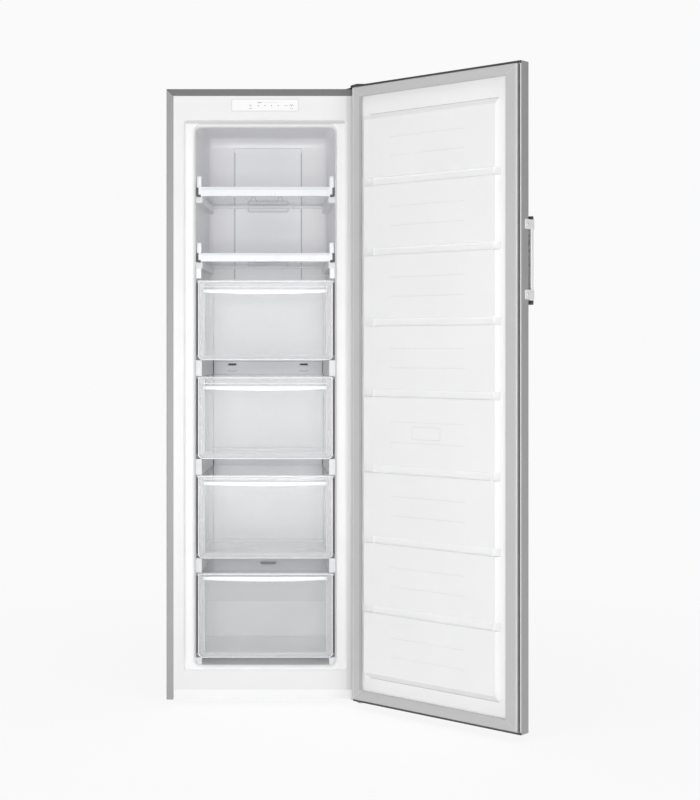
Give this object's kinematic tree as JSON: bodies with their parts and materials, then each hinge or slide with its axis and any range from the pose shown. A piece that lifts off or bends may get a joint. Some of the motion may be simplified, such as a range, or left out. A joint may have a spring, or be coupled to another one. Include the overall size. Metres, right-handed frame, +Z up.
{
  "type": "upright freezer",
  "caption": "Tall single-door upright freezer, door swung open: glass shelves above clear pull-out drawers, ribbed door lining, bar handle on the door's edge.",
  "frame": {"origin": "on the floor, at the middle of the footprint of the whole freezer with its door open at rest", "axes": "+Z up; +X to the right and +Y to the back, seen by a person in front of the cabinet"},
  "size_m": [1.0456, 1.0128, 1.864],
  "materials": {
    "cabinet_steel": "satin silver-grey coated sheet",
    "back_steel": "zinc-coated sheet",
    "frame_steel": "pressed zinc-plated steel",
    "liner_white": "formed white sheet, satin",
    "cover_white": "moulded white, matte",
    "drawer_clear": "clear moulded, slightly cloudy",
    "shelf_white": "moulded white, gloss",
    "shelf_glass": "toughened, clear",
    "gasket_rubber": "grey, matte",
    "dark_plastic": "moulded dark grey",
    "handle_metal": "satin silver",
    "foam": "rigid cream foam",
    "fin_metal": "plain",
    "copper": "drawn copper",
    "black_enamel": "black enamel",
    "black_rubber": "matte",
    "board_green": "solder mask",
    "light_lens": "small clear lenses",
    "button_plastic": "moulded, satin",
    "roller_plastic": "moulded nylon"
  },
  "bodies": {
    "cabinet": {"cabinet_wrap": "cabinet_steel", "rear_panel": "back_steel", "floor_sheet": "back_steel", "insulation_foam": "foam", "inner_liner": "liner_white", "control_fascia": "shelf_white", "control_board": "board_green", "indicator_lights": "light_lens", "plinth": "liner_white", "duct_cover": "cover_white", "evaporator_cover": "cover_white", "evaporator_fins": "fin_metal", "evaporator_coil": "fin_metal", "defrost_heater": "fin_metal", "fan_motor": "dark_plastic", "drain_tube": "dark_plastic", "machine_tray": "frame_steel", "compressor": "black_enamel", "compressor_grommets": "black_rubber", "relay_cover": "dark_plastic", "refrigerant_pipes": "copper", "drip_tray": "dark_plastic", "power_gland": "black_rubber", "base_frame": "frame_steel", "roller_axles": "frame_steel", "upper_hinge": "frame_steel", "hinge_screws": "frame_steel", "hinge_cover": "dark_plastic", "lower_hinge": "frame_steel", "lower_hinge_screws": "frame_steel"},
    "door": {"door_skin": "cabinet_steel", "door_liner": "liner_white", "door_foam": "foam", "door_top_cap": "dark_plastic", "door_bottom_cap": "dark_plastic", "door_gasket": "gasket_rubber", "upper_hinge_bush": "roller_plastic", "lower_hinge_bush": "roller_plastic", "handle_bar": "handle_metal", "handle_brackets": "handle_metal", "handle_screws": "handle_metal"},
    "control_button": {"control_button": "button_plastic"},
    "fan_wheel": {"fan_wheel": "roller_plastic"},
    "left_foot": {"left_foot": "roller_plastic"},
    "right_foot": {"right_foot": "roller_plastic"},
    "left_roller": {"left_roller": "roller_plastic"},
    "right_roller": {"right_roller": "roller_plastic"},
    "drawer_1": {"drawer_1": "drawer_clear"},
    "drawer_2": {"drawer_2": "drawer_clear"},
    "drawer_3": {"drawer_3": "drawer_clear"},
    "drawer_4": {"drawer_4": "drawer_clear"},
    "shelf_1": {"shelf_1_frame": "shelf_white", "shelf_1_glass": "shelf_glass"},
    "shelf_2": {"shelf_2_frame": "shelf_white", "shelf_2_glass": "shelf_glass"}
  },
  "joints": [
    {"name": "door_hinge", "type": "hinge", "parent": "cabinet", "child": "door", "pos_m": [0.06022, -0.09963, 0.9], "axis": [0, 0, 1], "range_deg": [-138, 7]},
    {"name": "button_press", "type": "slide", "parent": "cabinet", "child": "control_button", "axis": [0, 1, 0], "range_m": [0, 0.0008], "stiffness_N_per_m": 400, "springref_m": -0.001},
    {"name": "fan_spin", "type": "hinge", "parent": "cabinet", "child": "fan_wheel", "pos_m": [-0.22528, 0.40337, 1.43001], "axis": [0, 1, 0], "continuous": true},
    {"name": "left_foot_screw", "type": "hinge", "parent": "cabinet", "child": "left_foot", "pos_m": [-0.48078, 0.02637, 0.02], "axis": [0, 0, 1], "continuous": true},
    {"name": "right_foot_screw", "type": "hinge", "parent": "cabinet", "child": "right_foot", "pos_m": [0.03022, 0.02637, 0.02], "axis": [0, 0, 1], "continuous": true},
    {"name": "left_roller_spin", "type": "hinge", "parent": "cabinet", "child": "left_roller", "pos_m": [-0.48078, 0.45137, 0.02], "axis": [1, 0, 0], "continuous": true},
    {"name": "right_roller_spin", "type": "hinge", "parent": "cabinet", "child": "right_roller", "pos_m": [0.03022, 0.45137, 0.02], "axis": [1, 0, 0], "continuous": true},
    {"name": "drawer_1_slide", "type": "slide", "parent": "cabinet", "child": "drawer_1", "axis": [0, -1, 0], "range_m": [0, 0.3]},
    {"name": "drawer_2_slide", "type": "slide", "parent": "cabinet", "child": "drawer_2", "axis": [0, -1, 0], "range_m": [0, 0.3]},
    {"name": "drawer_3_slide", "type": "slide", "parent": "cabinet", "child": "drawer_3", "axis": [0, -1, 0], "range_m": [0, 0.3]},
    {"name": "drawer_4_slide", "type": "slide", "parent": "cabinet", "child": "drawer_4", "axis": [0, -1, 0], "range_m": [0, 0.22]},
    {"name": "shelf_1_slide", "type": "slide", "parent": "cabinet", "child": "shelf_1", "axis": [0, -1, 0], "range_m": [0, 0.28]},
    {"name": "shelf_2_slide", "type": "slide", "parent": "cabinet", "child": "shelf_2", "axis": [0, -1, 0], "range_m": [0, 0.28]}
  ]
}
